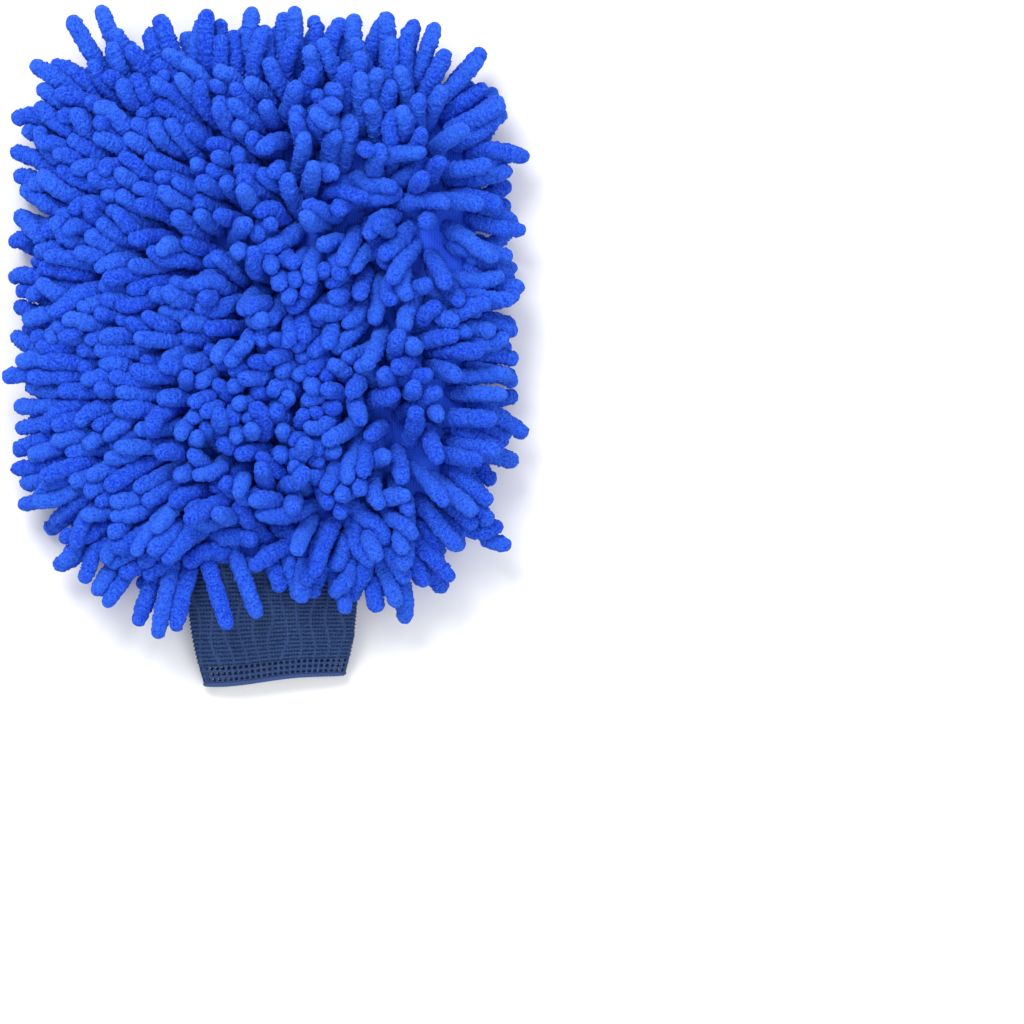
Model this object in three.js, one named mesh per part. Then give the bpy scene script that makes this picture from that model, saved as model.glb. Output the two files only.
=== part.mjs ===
// Chenille wash mitt: a cloth pouch with a hand pocket, rows of chenille noodles on both
// faces, and an elastic knitted cuff hinged at the pouch's mouth.
// Millimetres. +X is across the mitt, +Y runs from the cuff to the toe, +Z is up.
// The mitt lies on the noodles of its back, and z = 0 is the surface that it lies on.
import * as THREE from 'three';

// Half the overall length, from the cuff's hem to the tips of the toe noodles.
const overallHalfLength = 157.2;
const gap = 0.3; // clearance between pieces that touch

// Noodles: their length, how far the outermost ones lie over, and the rows they stand in.
const noodleLength = 28;
const edgeLift = THREE.MathUtils.degToRad(15);
const edgeReach = noodleLength * Math.cos(edgeLift);
const rowCount = 20;
const rowThickness = 8;
const noodlePitch = 12.4;
const rootStrip = 0.12; // share of a noodle's length taken by the yarn that joins a row
const noodleRootFill = 0.36; // half width of a noodle at its root, as a share of the pitch
const noodleTipFill = 0.27;
const backPileDepth = 15; // the back noodles are pressed down to this depth
const backEdgeDrop = 0.5; // least share of a back noodle's length that goes down
const overCuffLean = 0.35; // noodles over the cuff lean this much as far as the others
const cornerEase = 0.25; // the end noodles of a row lean this much less along the mitt

// Pouch: the cloth outline inside the noodles.
const sideHalf = 96.1; // with the noodles the mitt is 240 across
const toeY = overallHalfLength - edgeReach + gap;
const mouthY = -97;
const shoulderY = -44; // where the sides start to narrow towards the mouth
const mouthHalf = 41;
const toeCornerRadius = 46;
const clothThickness = 1;
const liningThickness = 0.6;
const pocketHeight = 10;
const seamAllowance = 4;
const outlineSegments = 5;

// Cuff: an oval tube that droops from the mouth to the surface.
const cuffTopY = -107.5; // the hinge line, clear of the mouth seam at every angle
const cuffHemY = -overallHalfLength;
const cuffWall = 1.2;
const cuffHalfWidth = 37.5;
const cuffHalfHeight = 8;
const cuffWidthTaper = 0.15; // narrowing from the mouth to the hem
const cuffHeightTaper = 0.2;
const cuffRestClearance = 0.4;
const meshBandLength = 8;
const hemEdgeLength = 2;
const cuffSeamHeight = 5;
const cuffSeamThickness = 1.4;
const ovalSegments = 11;
const mouthSeamLength = 3.2;
const mouthSeamWall = 1.3;
const mouthSeamHalfHeight = 6.4; // between the front and back noodles

// Heights of the layers, from the surface up.
const backClothZ = backPileDepth + gap;
const backLiningZ = backClothZ + clothThickness + gap;
const pocketZ = backLiningZ + liningThickness;
const frontLiningZ = pocketZ + pocketHeight;
const frontClothZ = frontLiningZ + liningThickness + gap;
const frontPileZ = frontClothZ + clothThickness + gap;
const mouthZ = pocketZ + pocketHeight / 2;

const chenilleBlue = new THREE.Color(0.024, 0.105, 0.75);
const groundBlue = new THREE.Color(0.02, 0.09, 0.62);
const liningBlue = new THREE.Color(0.05, 0.13, 0.5);
const knitNavy = new THREE.Color(0.027, 0.053, 0.16);

const mitt = new THREE.Group();

function addPiece(name, geometry, color, roughness) {
  const material = new THREE.MeshStandardMaterial({ color, roughness, metalness: 0 });
  const piece = new THREE.Mesh(geometry, material);
  piece.name = name;
  mitt.add(piece);
}

// Moves every vertex of a geometry by a function of its place.
function reshape(geometry, place) {
  const position = geometry.attributes.position;
  const point = new THREE.Vector3();
  for (let i = 0; i < position.count; i += 1) {
    point.fromBufferAttribute(position, i);
    place(point);
    position.setXYZ(i, point.x, point.y, point.z);
  }
  geometry.computeVertexNormals();
  return geometry;
}

// Half width of the pouch cloth at a given y: a quarter ellipse from the mouth to the
// shoulder, a straight side, and a round corner at the toe.
function pouchHalfWidth(y) {
  if (y < shoulderY) {
    const below = (shoulderY - y) / (shoulderY - mouthY);
    return mouthHalf + (sideHalf - mouthHalf) * Math.sqrt(Math.max(0, 1 - below * below));
  }
  const cornerY = toeY - toeCornerRadius;
  if (y > cornerY) {
    const inCorner = Math.min(y - cornerY, toeCornerRadius);
    const side = sideHalf - toeCornerRadius;
    return side + Math.sqrt(toeCornerRadius * toeCornerRadius - inCorner * inCorner);
  }
  return sideHalf;
}

// The pouch outline from the right end of the mouth round the toe to the left end.
function pouchEdge(inset) {
  const quarter = Math.PI / 2;
  const corner = toeCornerRadius - inset;
  const cornerX = sideHalf - toeCornerRadius;
  const cornerY = toeY - toeCornerRadius;
  const taperX = sideHalf - mouthHalf;
  const taperY = shoulderY - mouthY;
  const edge = new THREE.Path();
  edge.moveTo(mouthHalf - inset, mouthY);
  edge.absellipse(mouthHalf - inset, shoulderY, taperX, taperY, -quarter, 0, false);
  edge.absarc(cornerX, cornerY, corner, 0, quarter, false);
  edge.absarc(-cornerX, cornerY, corner, quarter, 2 * quarter, false);
  edge.absellipse(inset - mouthHalf, shoulderY, taperX, taperY, 2 * quarter, 3 * quarter, false);
  return edge.getPoints(outlineSegments);
}

// A flat layer of the pouch with its underside at z.
function pouchLayer(z, thickness, inset) {
  const outline = new THREE.Shape(pouchEdge(inset));
  const layer = new THREE.ExtrudeGeometry(outline, { depth: thickness, bevelEnabled: false });
  return layer.translate(0, 0, z);
}

// The seam allowances of the two faces, turned in round the pocket: a U open at the mouth.
function sideSeam() {
  const outline = [...pouchEdge(0), ...pouchEdge(seamAllowance).reverse()];
  const depth = pocketHeight - 2 * gap;
  const seam = new THREE.ExtrudeGeometry(new THREE.Shape(outline), { depth, bevelEnabled: false });
  return seam.translate(0, 0, pocketZ + gap);
}

// The way a noodle points from its root: upright in the middle of a face, and lying over
// outwards towards the edge. across and along run from -1 to 1 over the face.
function noodleDirection(across, along, standsOverCuff) {
  const reach = Math.cos(edgeLift);
  const lean = (standsOverCuff ? overCuffLean : 1) * (1 - cornerEase * across * across);
  const lengthways = lean * reach * along * Math.abs(along) ** 1.5;
  const widest = Math.sqrt(reach * reach - lengthways * lengthways);
  const sideways = THREE.MathUtils.clamp(reach * across * Math.abs(across), -widest, widest);
  const lift = Math.sqrt(1 - lengthways * lengthways - sideways * sideways);
  return new THREE.Vector3(sideways, lengthways, lift);
}

// An odd number of noodles that fills a row of this half width.
function noodleCount(halfWidth) {
  return 2 * Math.round(halfWidth / noodlePitch - 0.5) + 1;
}

// One row of noodles as a comb: x runs from -1 to 1 along the row and y from 0 at the
// cloth to 1 at the tips.
function noodleComb(count) {
  const pitch = 2 / count;
  const comb = new THREE.Shape();
  comb.moveTo(-1, 0);
  comb.lineTo(1, 0);
  for (let i = count - 1; i >= 0; i -= 1) {
    const centre = -1 + pitch * (i + 0.5);
    comb.lineTo(centre + noodleRootFill * pitch, rootStrip);
    comb.lineTo(centre + noodleTipFill * pitch, 1);
    comb.lineTo(centre - noodleTipFill * pitch, 1);
    comb.lineTo(centre - noodleRootFill * pitch, rootStrip);
  }
  return comb;
}

// A comb laid along its noodles' directions, on the front face or, pressed flat against
// the surface, on the back face.
function noodleRow(rowY, along, onFront) {
  const halfWidth = pouchHalfWidth(rowY);
  const count = noodleCount(halfWidth);
  const row = new THREE.ExtrudeGeometry(noodleComb(count), { depth: rowThickness, bevelEnabled: false });
  reshape(row, (point) => {
    const index = Math.min(Math.floor(((point.x + 1) / 2) * count), count - 1);
    const across = (2 * index) / (count - 1) - 1;
    const noodleX = across * (halfWidth - halfWidth / count);
    const overCuff = rowY < shoulderY && Math.abs(noodleX) < mouthHalf;
    const direction = noodleDirection(across, along, overCuff);
    const fromRoot = point.y * noodleLength;
    const drop = Math.min(fromRoot * Math.max(direction.z, backEdgeDrop), point.y * backPileDepth);
    point.set(
      point.x * halfWidth + fromRoot * direction.x,
      rowY + rowThickness / 2 - point.z + fromRoot * direction.y,
      onFront ? frontPileZ + fromRoot * direction.z : backPileDepth - drop,
    );
  });
  return onFront ? row : turnedInsideOut(row);
}

// Reverses the winding of a geometry that a reflection has turned inside out.
function turnedInsideOut(geometry) {
  const position = geometry.attributes.position;
  const first = new THREE.Vector3();
  const second = new THREE.Vector3();
  for (let i = 0; i < position.count; i += 3) {
    first.fromBufferAttribute(position, i);
    second.fromBufferAttribute(position, i + 1);
    position.setXYZ(i, second.x, second.y, second.z);
    position.setXYZ(i + 1, first.x, first.y, first.z);
  }
  geometry.computeVertexNormals();
  return geometry;
}

// An oval ring lying along Y from startY to endY, around the height of the mouth.
function ovalRing(startY, endY, halfWidth, halfHeight, wall) {
  const fullTurn = 2 * Math.PI;
  const oval = new THREE.Shape();
  oval.absellipse(0, 0, halfWidth, halfHeight, 0, fullTurn, false);
  const bore = new THREE.Path();
  bore.absellipse(0, 0, halfWidth - wall, halfHeight - wall, 0, fullTurn, true);
  oval.holes.push(bore);
  const ring = new THREE.ExtrudeGeometry(oval, {
    depth: startY - endY,
    curveSegments: ovalSegments,
    bevelEnabled: false,
  });
  return ring.rotateX(Math.PI / 2).translate(0, startY, mouthZ);
}

// Narrows and droops a cuff piece with its distance from the hinge line.
function shapeCuff(geometry) {
  const hemHalfHeight = cuffHalfHeight * (1 - cuffHeightTaper);
  const droop = mouthZ - hemHalfHeight - cuffRestClearance;
  return reshape(geometry, (point) => {
    const along = (cuffTopY - point.y) / (cuffTopY - cuffHemY);
    const height = (point.z - mouthZ) * (1 - cuffHeightTaper * along);
    point.x *= 1 - cuffWidthTaper * along;
    point.z = mouthZ + height - droop * along;
  });
}

function cuffRing(startY, endY) {
  return shapeCuff(ovalRing(startY, endY, cuffHalfWidth, cuffHalfHeight, cuffWall));
}

// The cuff strip's end seam, inside the tube at its -X fold.
function cuffSeam(startY, endY) {
  const length = startY - endY;
  const seam = new THREE.BoxGeometry(cuffSeamThickness, length, cuffSeamHeight);
  const seamRise = cuffSeamHeight / 2 / (cuffHalfHeight - cuffWall);
  const wallX = (cuffHalfWidth - cuffWall) * Math.sqrt(1 - seamRise * seamRise);
  seam.translate(2 * gap + cuffSeamThickness / 2 - wallX, startY - length / 2, mouthZ);
  return shapeCuff(seam);
}

addPiece('back_ground_cloth', pouchLayer(backClothZ, clothThickness, 0), groundBlue, 0.9);
addPiece('back_lining', pouchLayer(backLiningZ, liningThickness, gap), liningBlue, 0.8);
addPiece('side_seam', sideSeam(), groundBlue, 0.9);
addPiece('front_lining', pouchLayer(frontLiningZ, liningThickness, gap), liningBlue, 0.8);
addPiece('front_ground_cloth', pouchLayer(frontClothZ, clothThickness, 0), groundBlue, 0.9);

const firstRowY = mouthY + rowThickness / 2 + gap;
const lastRowY = toeY - rowThickness / 2 - gap;
for (let i = 0; i < rowCount; i += 1) {
  const share = i / (rowCount - 1);
  const rowY = THREE.MathUtils.lerp(firstRowY, lastRowY, share);
  const along = 2 * share - 1;
  const number = String(i + 1).padStart(2, '0');
  addPiece(`front_chenille_row_${number}`, noodleRow(rowY, along, true), chenilleBlue, 0.95);
  addPiece(`back_chenille_row_${number}`, noodleRow(rowY, along, false), chenilleBlue, 0.95);
}

const mouthSeamY = mouthY - gap;
const mouthSeam = ovalRing(
  mouthSeamY,
  mouthSeamY - mouthSeamLength,
  mouthHalf,
  mouthSeamHalfHeight,
  mouthSeamWall,
);
addPiece('mouth_seam', mouthSeam, knitNavy, 0.9);

const hemEdgeY = cuffHemY + hemEdgeLength;
const meshBandY = hemEdgeY + meshBandLength;
addPiece('cuff_knit_tube', cuffRing(cuffTopY, meshBandY + gap), knitNavy, 0.85);
addPiece('cuff_mesh_band', cuffRing(meshBandY, hemEdgeY + gap), knitNavy, 0.85);
addPiece('cuff_hem_edge', cuffRing(hemEdgeY, cuffHemY), knitNavy, 0.85);
addPiece('cuff_side_seam', cuffSeam(cuffTopY - gap, meshBandY + 2 * gap), knitNavy, 0.85);

export default mitt;
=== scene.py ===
import math

import bpy
import numpy as np
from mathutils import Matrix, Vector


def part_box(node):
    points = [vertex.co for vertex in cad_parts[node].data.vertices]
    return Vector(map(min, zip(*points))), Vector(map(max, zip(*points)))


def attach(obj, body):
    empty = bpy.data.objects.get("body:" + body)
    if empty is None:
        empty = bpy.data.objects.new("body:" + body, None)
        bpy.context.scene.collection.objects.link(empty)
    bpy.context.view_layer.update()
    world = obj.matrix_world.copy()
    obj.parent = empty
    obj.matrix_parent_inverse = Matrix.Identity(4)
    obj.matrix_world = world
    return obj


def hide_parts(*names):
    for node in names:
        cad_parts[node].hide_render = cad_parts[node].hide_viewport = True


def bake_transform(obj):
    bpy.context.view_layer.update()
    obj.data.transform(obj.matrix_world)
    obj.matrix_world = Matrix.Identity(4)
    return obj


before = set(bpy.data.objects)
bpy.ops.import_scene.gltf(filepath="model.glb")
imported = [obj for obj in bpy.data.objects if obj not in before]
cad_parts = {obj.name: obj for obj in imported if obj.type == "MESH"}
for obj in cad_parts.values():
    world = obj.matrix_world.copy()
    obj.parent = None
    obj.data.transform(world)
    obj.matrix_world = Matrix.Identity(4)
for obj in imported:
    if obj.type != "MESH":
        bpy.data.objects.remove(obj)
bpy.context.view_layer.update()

# Lengths are in metres. The mitt lies on its back noodles with the cuff towards -Y.

# the pouch's outline and heights come from the frame
clothLow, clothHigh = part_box("front_ground_cloth")
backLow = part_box("back_ground_cloth")[0]
mouthLow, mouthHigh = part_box("mouth_seam")
pouch = {
    "sideHalf": clothHigh.x,
    "toeY": clothHigh.y,
    "mouthY": clothLow.y,
    "shoulderY": -0.044,
    "mouthHalf": mouthHigh.x,
    "toeCornerRadius": 0.046,
    "seamZ": (mouthLow.z + mouthHigh.z) / 2,
    "frontRise": clothHigh.z - (mouthLow.z + mouthHigh.z) / 2,
    "backFall": (mouthLow.z + mouthHigh.z) / 2 - backLow.z,
    "edgeRise": 0.0016,  # each cloth stands this far off the seam's middle at the outline
}


# half width at y: mouth + (side - mouth) * sqrt(1 - below^2) under the shoulder, and a
# quarter circle off the straight side in the toe corner
def pouchHalfWidth(y):
    y = np.asarray(y, float)
    below = np.clip((pouch["shoulderY"] - y) / (pouch["shoulderY"] - pouch["mouthY"]), 0, 1)
    taper = pouch["sideHalf"] - pouch["mouthHalf"]
    lower = pouch["mouthHalf"] + taper * np.sqrt(1 - below ** 2)
    radius = pouch["toeCornerRadius"]
    intoCorner = np.clip(y - (pouch["toeY"] - radius), 0, radius)
    return lower - radius + np.sqrt(radius ** 2 - intoCorner ** 2)


# bulge: 1 over the middle of the pouch, falling to 0 at its edge as (1 - a^4)(1 - b^6)
def pouchBulge(x, y):
    across = np.clip(np.abs(x) / pouchHalfWidth(y), 0, 1)
    middleY = (pouch["toeY"] + pouch["mouthY"]) / 2
    halfLength = (pouch["toeY"] - pouch["mouthY"]) / 2
    along = np.clip(np.abs(y - middleY) / halfLength, 0, 1)
    atMouth = np.clip((middleY - y) / halfLength, 0, 1) ** 8 * np.clip(1 - (x / 0.05) ** 2, 0, 1)
    return (1 - across ** 4) * (1 - along ** 6 * (1 - 0.75 * atMouth))


# outer face of the front cloth, and of the back cloth
def frontClothHeight(x, y):
    edge = pouch["edgeRise"]
    return pouch["seamZ"] + edge + (pouch["frontRise"] - edge) * pouchBulge(x, y)


def backClothHeight(x, y):
    edge = pouch["edgeRise"]
    return pouch["seamZ"] - edge - (pouch["backFall"] - edge) * pouchBulge(x, y)


# the cuff's ends come from the frame too
hemLow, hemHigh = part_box("cuff_hem_edge")
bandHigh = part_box("cuff_mesh_band")[1]
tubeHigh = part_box("cuff_knit_tube")[1]
cuff = {
    "topY": -0.0980,
    "hingeY": tubeHigh.y,
    "blendFrom": -0.094,
    "blendTo": -0.118,
    "bandY": bandHigh.y,
    "edgeY": hemHigh.y,
    "hemY": hemLow.y,
    "topHalfWidth": 0.0382,
    "hemHalfWidth": 0.0319,
    "bulge": 0.0025,  # the gathered cuff is this much wider on each side halfway down
    "topHalfHeight": 0.0060,
    "hemHalfHeight": 0.0040,
    "hemMiddleZ": 0.0048,
    "topX": 0.0025,
    "hemX": 0.0036,
    "slant": 0.0050,  # the hem runs this much higher on the +X side than on the other
    "wave": 0.0008,
    "waveTurns": 3.1,
    "wavePhase": 0.6,
    "sideRoom": 0.002,  # noodles this near to the cuff's sides still lie on it
    "hangY": -0.100,  # noodles whose tips reach past this hang over the cuff
    "underLag": 0.0013,  # the under layer ends this much short of the upper one
    "wall": 0.0011,
}


# share of the way from the cuff's top to its hem
def downCuff(y):
    return np.clip((cuff["topY"] - y) / (cuff["topY"] - cuff["hemY"]), 0, 1)


# middle, half width and half height of the cuff at y: level out of the mouth, then down to
# the surface that the mitt lies on
def cuffSection(y):
    down = downCuff(y)
    middleX = cuff["topX"] + (cuff["hemX"] - cuff["topX"]) * down
    middleZ = pouch["seamZ"] + (cuff["hemMiddleZ"] - pouch["seamZ"]) * smoothStep(down, 0.05, 1.1)
    halfWidth = cuff["topHalfWidth"] + (cuff["hemHalfWidth"] - cuff["topHalfWidth"]) * down
    halfWidth = halfWidth + cuff["bulge"] * 4 * down * (1 - down)
    halfHeight = cuff["topHalfHeight"] + (cuff["hemHalfHeight"] - cuff["topHalfHeight"]) * down
    return middleX, middleZ, halfWidth, halfHeight


def cuffTopHeight(x, y):
    middleX, middleZ, halfWidth, halfHeight = cuffSection(y)
    return middleZ + halfHeight * np.sqrt(np.clip(1 - ((x - middleX) / halfWidth) ** 2, 0, 1))


def smoothStep(value, low, high):
    share = np.clip((value - low) / (high - low), 0, 1)
    return share * share * (3 - 2 * share)


def unit(vectors):
    return vectors / np.maximum(np.linalg.norm(vectors, axis=-1, keepdims=True), 1e-12)


def evenTurns(sides):
    return np.arange(sides) * 2 * math.pi / sides


# one mesh object from whole arrays: corners is a list of (faces, uv) with uv per face corner
def meshPiece(name, vertices, corners, material, attributes=None):
    mesh = bpy.data.meshes.new(name)
    vertices = np.asarray(vertices, np.float32).reshape(-1, 3)
    sizes = np.concatenate([np.full(len(faces), faces.shape[1]) for faces, uv in corners])
    loops = np.concatenate([faces.reshape(-1) for faces, uv in corners])
    mesh.vertices.add(len(vertices))
    mesh.vertices.foreach_set("co", vertices.reshape(-1))
    mesh.loops.add(len(loops))
    mesh.loops.foreach_set("vertex_index", loops.astype(np.int32))
    mesh.polygons.add(len(sizes))
    starts = np.concatenate([[0], np.cumsum(sizes)[:-1]])
    mesh.polygons.foreach_set("loop_start", starts.astype(np.int32))
    uvLayer = mesh.uv_layers.new(name="along")
    uvs = np.concatenate([uv.reshape(-1, 2) for faces, uv in corners])
    uvLayer.data.foreach_set("uv", uvs.astype(np.float32).reshape(-1))
    for key, values in (attributes or {}).items():
        attribute = mesh.attributes.new(key, "FLOAT", "POINT")
        attribute.data.foreach_set("value", values.astype(np.float32).reshape(-1))
    mesh.update(calc_edges=True)
    mesh.validate()
    mesh.polygons.foreach_set("use_smooth", np.ones(len(mesh.polygons), bool))
    mesh.materials.append(material)
    piece = bpy.data.objects.new(name, mesh)
    bpy.context.scene.collection.objects.link(piece)
    return piece


stage = {
    "lens": 300,
    "sensor": 36,
    "frameWidth": 0.468,  # what the camera takes in at the height of the noodles
    "cameraX": 0.1129,
    "cameraY": -0.0759,
    "focusHeight": 0.035,
    "floorSize": 8,
    "floorDrop": 0.0003,
    "keyPlace": (-0.5, 1.1, 1.7),
    "keySize": 1.0,
    "keyPower": 29,
    "fillPlace": (0.9, -0.8, 1.8),
    "fillSize": 1.4,
    "fillPower": 9,
    "roomColour": (0.95, 0.97, 1, 1),
    "roomStrength": 0.92,
}


def addCamera():
    data = bpy.data.cameras.new("camera")
    data.lens = stage["lens"]
    data.sensor_width = stage["sensor"]
    data.clip_end = 30
    camera = bpy.data.objects.new("camera", data)
    height = stage["frameWidth"] * stage["lens"] / stage["sensor"] + stage["focusHeight"]
    camera.location = (stage["cameraX"], stage["cameraY"], height)
    bpy.context.scene.collection.objects.link(camera)
    bpy.context.scene.camera = camera


def addAreaLight(name, location, size, power):
    data = bpy.data.lights.new(name, "AREA")
    data.shape = "DISK"
    data.size = size
    data.energy = power
    light = bpy.data.objects.new(name, data)
    light.location = location
    aim = -light.location
    light.rotation_euler = aim.to_track_quat("-Z", "Y").to_euler()
    bpy.context.scene.collection.objects.link(light)


def addStage():
    half = stage["floorSize"] / 2
    drop = -stage["floorDrop"]
    square = [(-half, -half, drop), (half, -half, drop), (half, half, drop), (-half, half, drop)]
    mesh = bpy.data.meshes.new("floor")
    mesh.from_pydata(square, [], [(0, 1, 2, 3)])
    floor = bpy.data.objects.new("floor", mesh)
    bpy.context.scene.collection.objects.link(floor)
    material = bpy.data.materials.new("paleFloor")
    material.use_nodes = True
    shader = material.node_tree.nodes["Principled BSDF"]
    shader.inputs["Base Color"].default_value = (0.9, 0.9, 0.9, 1)
    shader.inputs["Roughness"].default_value = 0.9
    mesh.materials.append(material)
    addAreaLight("keyLight", stage["keyPlace"], stage["keySize"], stage["keyPower"])
    addAreaLight("fillLight", stage["fillPlace"], stage["fillSize"], stage["fillPower"])
    world = bpy.data.worlds.new("softRoom")
    world.use_nodes = True
    background = world.node_tree.nodes["Background"]
    background.inputs["Color"].default_value = stage["roomColour"]
    background.inputs["Strength"].default_value = stage["roomStrength"]
    bpy.context.scene.world = world
    bpy.context.scene.view_settings.view_transform = "Standard"


addCamera()
addStage()
print("stage ready")


# shares one noise between the cloth finishes: Tone and Height are two octaves of fibre
# noise on the piece's own coordinates, one at Scale and one three times finer
def fibreFuzzGroup():
    group = bpy.data.node_groups.new("fibreFuzz", "ShaderNodeTree")
    group.interface.new_socket("Scale", in_out="INPUT", socket_type="NodeSocketFloat")
    group.interface.new_socket("Tone", in_out="OUTPUT", socket_type="NodeSocketFloat")
    group.interface.new_socket("Height", in_out="OUTPUT", socket_type="NodeSocketFloat")
    nodes, links = group.nodes, group.links
    entry = nodes.new("NodeGroupInput")
    leave = nodes.new("NodeGroupOutput")
    place = nodes.new("ShaderNodeTexCoord")
    coarse = nodes.new("ShaderNodeTexNoise")
    coarse.inputs["Detail"].default_value = 2
    coarse.inputs["Roughness"].default_value = 0.6
    fine = nodes.new("ShaderNodeTexNoise")
    fine.inputs["Detail"].default_value = 1
    finer = nodes.new("ShaderNodeMath")
    finer.operation = "MULTIPLY"
    finer.inputs[1].default_value = 3.1
    both = nodes.new("ShaderNodeMath")
    both.operation = "MULTIPLY_ADD"
    both.inputs[1].default_value = 0.45
    links.new(place.outputs["Object"], coarse.inputs["Vector"])
    links.new(place.outputs["Object"], fine.inputs["Vector"])
    links.new(entry.outputs["Scale"], coarse.inputs["Scale"])
    links.new(entry.outputs["Scale"], finer.inputs[0])
    links.new(finer.outputs[0], fine.inputs["Scale"])
    links.new(fine.outputs["Fac"], both.inputs[0])
    links.new(coarse.outputs["Fac"], both.inputs[2])
    links.new(coarse.outputs["Fac"], leave.inputs["Tone"])
    links.new(both.outputs[0], leave.inputs["Height"])
    return group


fibreFuzz = fibreFuzzGroup()
fuzzMiddle = 0.72  # about which its Height varies


def mathNode(tree, operation, first, second):
    node = tree.nodes.new("ShaderNodeMath")
    node.operation = operation
    for socket, value in zip(node.inputs, (first, second)):
        if isinstance(value, (int, float)):
            socket.default_value = value
        else:
            tree.links.new(value, socket)
    return node.outputs[0]


def scaledNode(tree, value, gain):
    return mathNode(tree, "MULTIPLY", value, gain)


def sumNode(tree, first, *others):
    total = first
    for other in others:
        total = mathNode(tree, "ADD", total, other)
    return total


# fibre grain that swings either way of the noise's middle
def grainNode(tree, fuzz, gain):
    return scaledNode(tree, mathNode(tree, "SUBTRACT", fuzz.outputs["Height"], fuzzMiddle), gain)


def mixColours(tree, share, dark, bright):
    node = tree.nodes.new("ShaderNodeMix")
    node.data_type = "RGBA"
    node.inputs["A"].default_value = (*dark, 1)
    node.inputs["B"].default_value = (*bright, 1)
    tree.links.new(share, node.inputs["Factor"])
    return node.outputs["Result"]


def bumpNode(tree, height, strength, distance):
    bump = tree.nodes.new("ShaderNodeBump")
    bump.inputs["Strength"].default_value = strength
    bump.inputs["Distance"].default_value = distance
    tree.links.new(height, bump.inputs["Height"])
    return bump.outputs["Normal"]


def attributeValue(tree, name):
    node = tree.nodes.new("ShaderNodeAttribute")
    node.attribute_name = name
    return node.outputs["Fac"]


def fuzzNode(tree, scale):
    node = tree.nodes.new("ShaderNodeGroup")
    node.node_tree = fibreFuzz
    node.inputs["Scale"].default_value = scale
    return node


def plainFinish(name, roughness, sheen, sheenRoughness, sheenTint):
    material = bpy.data.materials.new(name)
    material.use_nodes = True
    shader = material.node_tree.nodes["Principled BSDF"]
    shader.inputs["Roughness"].default_value = roughness
    shader.inputs["Specular IOR Level"].default_value = 0.15
    shader.inputs["Sheen Weight"].default_value = sheen
    shader.inputs["Sheen Roughness"].default_value = sheenRoughness
    shader.inputs["Sheen Tint"].default_value = (*sheenTint, 1)
    return material, material.node_tree, shader


chenilleLook = {
    "deep": (0.003, 0.030, 0.72),
    "bright": (0.040, 0.180, 1.0),
    "fuzzScale": 1000,
    "base": 0.22,
    "grainGain": 3.4,
    # painted shade: how much darker the colour is in the valleys between the ribs
    "ribValleyShadeGain": 0.25,
    "toneGain": 0.45,
    "ribHeight": 0.5,
    "bump": 0.0016,
}


# the velvet of the noodles: fibre noise, painted shade in the valleys between the ribs that
# the mesh carries, and each noodle has its own slight tone
def chenilleFinish():
    material, tree, shader = plainFinish(
        "chenille", roughness=0.95, sheen=0.4, sheenRoughness=0.5, sheenTint=(0.10, 0.32, 1.0)
    )
    fuzz = fuzzNode(tree, chenilleLook["fuzzScale"])
    rib = attributeValue(tree, "rib")
    tone = attributeValue(tree, "tone")
    share = sumNode(
        tree,
        grainNode(tree, fuzz, chenilleLook["grainGain"]),
        # painted shade in the rib valleys, lighter colour on the rib crests
        scaledNode(tree, rib, chenilleLook["ribValleyShadeGain"]),
        scaledNode(tree, tone, chenilleLook["toneGain"]),
        chenilleLook["base"],
    )
    tree.links.new(
        mixColours(tree, share, chenilleLook["deep"], chenilleLook["bright"]),
        shader.inputs["Base Color"],
    )
    ribHeight = scaledNode(tree, rib, chenilleLook["ribHeight"])
    height = sumNode(tree, fuzz.outputs["Height"], ribHeight)
    tree.links.new(bumpNode(tree, height, 1.0, chenilleLook["bump"]), shader.inputs["Normal"])
    return material


clothLook = {
    "deep": (0.012, 0.065, 0.80),
    "bright": (0.050, 0.19, 1.0),
    "fuzzScale": 1300,
    "waleScale": 260,
    "waleBend": 1.5,
    "fuzzGain": 0.7,
    "waleGain": 0.25,
    "waleHeight": 0.6,
    "bump": 0.0004,
}


# the ground cloth: fine wales along the mitt under the same fibre noise
def groundClothFinish():
    material, tree, shader = plainFinish(
        "groundCloth", roughness=0.95, sheen=0.25, sheenRoughness=0.4, sheenTint=(0.35, 0.55, 1.0)
    )
    fuzz = fuzzNode(tree, clothLook["fuzzScale"])
    wales = tree.nodes.new("ShaderNodeTexWave")
    wales.bands_direction = "X"
    wales.inputs["Scale"].default_value = clothLook["waleScale"]
    wales.inputs["Distortion"].default_value = clothLook["waleBend"]
    place = tree.nodes.new("ShaderNodeTexCoord")
    tree.links.new(place.outputs["Object"], wales.inputs["Vector"])
    fuzzShare = scaledNode(tree, fuzz.outputs["Tone"], clothLook["fuzzGain"])
    waleShare = scaledNode(tree, wales.outputs["Fac"], clothLook["waleGain"])
    share = sumNode(tree, fuzzShare, waleShare)
    tree.links.new(
        mixColours(tree, share, clothLook["deep"], clothLook["bright"]), shader.inputs["Base Color"]
    )
    waleHeight = scaledNode(tree, wales.outputs["Fac"], clothLook["waleHeight"])
    height = sumNode(tree, fuzz.outputs["Height"], waleHeight)
    tree.links.new(bumpNode(tree, height, 0.7, clothLook["bump"]), shader.inputs["Normal"])
    return material


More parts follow.
